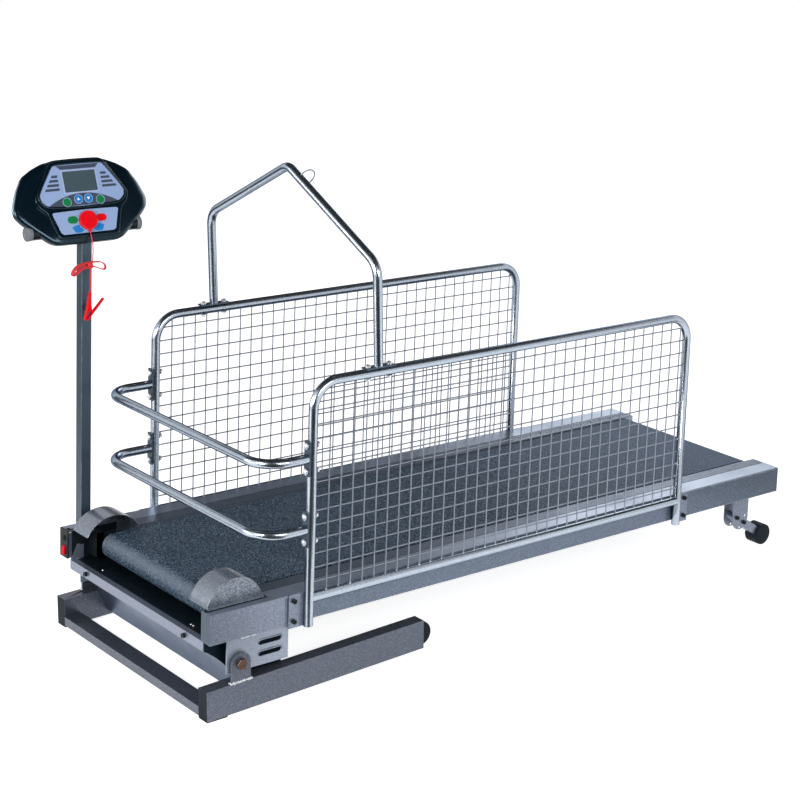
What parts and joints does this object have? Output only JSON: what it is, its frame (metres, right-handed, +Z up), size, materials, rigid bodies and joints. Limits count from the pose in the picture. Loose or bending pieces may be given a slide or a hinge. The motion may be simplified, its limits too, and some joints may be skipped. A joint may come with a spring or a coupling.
{
  "type": "dog treadmill",
  "caption": "Long low dog treadmill with ridged side rails, tube-framed mesh side panels, front guard bars, a leash arch and a console on a post.",
  "frame": {"origin": "floor level under the middle of the part's box, cord left out", "axes": "+X along the belt towards the rear feet, the console end is at -X; +Y towards the console's side; +Z up"},
  "size_m": [2.2072, 0.8968, 1.3175],
  "materials": {
    "painted_steel": "hammered silver paint",
    "rail_sleeve": "satin silver paint",
    "strip": "ridged, satin",
    "black_plastic": "fine grain",
    "board": "waxed board",
    "belt": "woven, speckled",
    "roller_steel": "turned",
    "motor": "satin",
    "strap": "matte",
    "circuit": "board green",
    "cover": "matte",
    "pan": "gloss silver paint",
    "brass_bolt": "worn",
    "rubber_black": "matte",
    "tube": "gloss grey paint",
    "wire": "zinc",
    "black_screw": "black oxide",
    "zinc_bolt": "zinc",
    "cap_grey": "satin",
    "shell": "fine grain",
    "face": "printed film",
    "screen": "screen",
    "green": "glossy",
    "blue": "glossy",
    "red": "glossy",
    "cord": "braided"
  },
  "bodies": {
    "deck": {"side_rails": "painted_steel", "rail_end_caps": "black_plastic", "foot_strips": "strip", "deck_board": "board", "cross_members": "painted_steel", "running_belt": "belt", "roller_axles": "roller_steel", "drive_motor": "motor", "drive_belt": "strap", "motor_controller": "circuit", "motor_cover": "cover", "front_lip": "pan", "belly_pan": "pan", "side_plates": "painted_steel", "front_sleeves": "rail_sleeve", "roller_guards": "painted_steel", "switch_panel": "black_plastic", "power_inlet": "black_plastic", "pivot_bolts": "brass_bolt", "foot_brackets": "painted_steel", "near_panel_frame": "tube", "far_panel_frame": "tube", "near_panel_mesh": "wire", "far_panel_mesh": "wire", "socket_screws": "black_screw", "upper_guard_bar": "tube", "lower_guard_bar": "tube", "leash_arch": "tube", "frame_bolts": "zinc_bolt", "console_post": "painted_steel", "handlebar": "black_plastic", "handlebar_caps": "cap_grey", "console_shell": "shell", "console_front": "shell", "console_face": "face", "display": "screen", "console_board": "circuit"},
    "front_roller": {"front_roller": "roller_steel"},
    "rear_roller": {"rear_roller": "roller_steel"},
    "motor_pulley": {"motor_pulley": "roller_steel"},
    "base": {"base_frame": "painted_steel", "base_pads": "rubber_black"},
    "near_wheel": {"near_wheel": "rubber_black"},
    "far_wheel": {"far_wheel": "rubber_black"},
    "near_foot": {"near_foot_arm": "painted_steel", "near_foot_pad": "rubber_black"},
    "far_foot": {"far_foot_arm": "painted_steel", "far_foot_pad": "rubber_black"},
    "left_button": {"left_button": "green"},
    "up_button": {"up_button": "blue"},
    "down_button": {"down_button": "blue"},
    "right_button": {"right_button": "green"},
    "start_button": {"start_button": "green"},
    "stop_button": {"stop_button": "red"},
    "power_rocker": {"power_rocker": "red"},
    "safety_key": {"safety_key": "red", "safety_cord": "cord", "clip_body": "red"},
    "clip_jaw": {"clip_jaw": "red"},
    "leash_ring": {"leash_ring": "zinc_bolt"}
  },
  "joints": [
    {"name": "front_roller_spin", "type": "hinge", "parent": "deck", "child": "front_roller", "pos_m": [-0.89533, -0.04244, 0.24272], "axis": [0, 1, 0], "continuous": true},
    {"name": "rear_roller_spin", "type": "hinge", "parent": "deck", "child": "rear_roller", "pos_m": [1.05452, -0.04244, 0.21822], "axis": [0, 1, 0], "continuous": true},
    {"name": "motor_spin", "type": "hinge", "parent": "deck", "child": "motor_pulley", "pos_m": [-0.83722, -0.04244, 0.09198], "axis": [0, 1, 0], "continuous": true},
    {"name": "base_tilt", "type": "hinge", "parent": "deck", "child": "base", "pos_m": [-0.90171, -0.04244, 0.13279], "axis": [0, 1, 0], "range_deg": [-5, 1.5]},
    {"name": "near_wheel_spin", "type": "hinge", "parent": "base", "child": "near_wheel", "pos_m": [-0.3215, -0.40844, 0.06076], "axis": [0, 1, 0], "continuous": true},
    {"name": "far_wheel_spin", "type": "hinge", "parent": "base", "child": "far_wheel", "pos_m": [-0.3215, 0.32356, 0.06076], "axis": [0, 1, 0], "continuous": true},
    {"name": "near_foot_fold", "type": "hinge", "parent": "deck", "child": "near_foot", "pos_m": [0.94619, -0.38244, 0.11357], "axis": [0, 1, 0], "range_deg": [-33, 33]},
    {"name": "far_foot_fold", "type": "hinge", "parent": "deck", "child": "far_foot", "pos_m": [0.94619, 0.29756, 0.11357], "axis": [0, 1, 0], "range_deg": [-33, 33]},
    {"name": "left_press", "type": "slide", "parent": "deck", "child": "left_button", "axis": [-0.0048, 0.9239, -0.3827], "range_m": [0, 0.001], "stiffness_N_per_m": 600},
    {"name": "up_press", "type": "slide", "parent": "deck", "child": "up_button", "axis": [-0.0048, 0.9239, -0.3827], "range_m": [0, 0.001], "stiffness_N_per_m": 600},
    {"name": "down_press", "type": "slide", "parent": "deck", "child": "down_button", "axis": [-0.0048, 0.9239, -0.3827], "range_m": [0, 0.001], "stiffness_N_per_m": 600},
    {"name": "right_press", "type": "slide", "parent": "deck", "child": "right_button", "axis": [-0.0048, 0.9239, -0.3827], "range_m": [0, 0.001], "stiffness_N_per_m": 600},
    {"name": "start_press", "type": "slide", "parent": "deck", "child": "start_button", "axis": [-0.0048, 0.9239, -0.3827], "range_m": [0, 0.001], "stiffness_N_per_m": 600},
    {"name": "stop_press", "type": "slide", "parent": "deck", "child": "stop_button", "axis": [-0.0048, 0.9239, -0.3827], "range_m": [0, 0.001], "stiffness_N_per_m": 600},
    {"name": "rocker_tip", "type": "hinge", "parent": "deck", "child": "power_rocker", "pos_m": [-0.99261, 0.31856, 0.22094], "axis": [0, 1, 0], "range_deg": [-16, 0]},
    {"name": "key_pull", "type": "slide", "parent": "deck", "child": "safety_key", "axis": [0.0048, -0.9239, 0.3827], "range_m": [0, 0.03]},
    {"name": "clip_squeeze", "type": "hinge", "parent": "safety_key", "child": "clip_jaw", "pos_m": [-0.90852, 0.32116, 0.89183], "axis": [0, 1, 0], "range_deg": [-14, 0], "stiffness_Nm_per_rad": 0.2},
    {"name": "ring_swing", "type": "hinge", "parent": "deck", "child": "leash_ring", "pos_m": [-0.51312, -0.09604, 1.28343], "axis": [-0.0355, -0.4495, 0.8926], "range_deg": [-50, 50]}
  ],
  "couplings": [
    {"joint": "rear_roller_spin", "follows": "front_roller_spin", "ratio": 1},
    {"joint": "motor_spin", "follows": "front_roller_spin", "ratio": 2.4762}
  ]
}
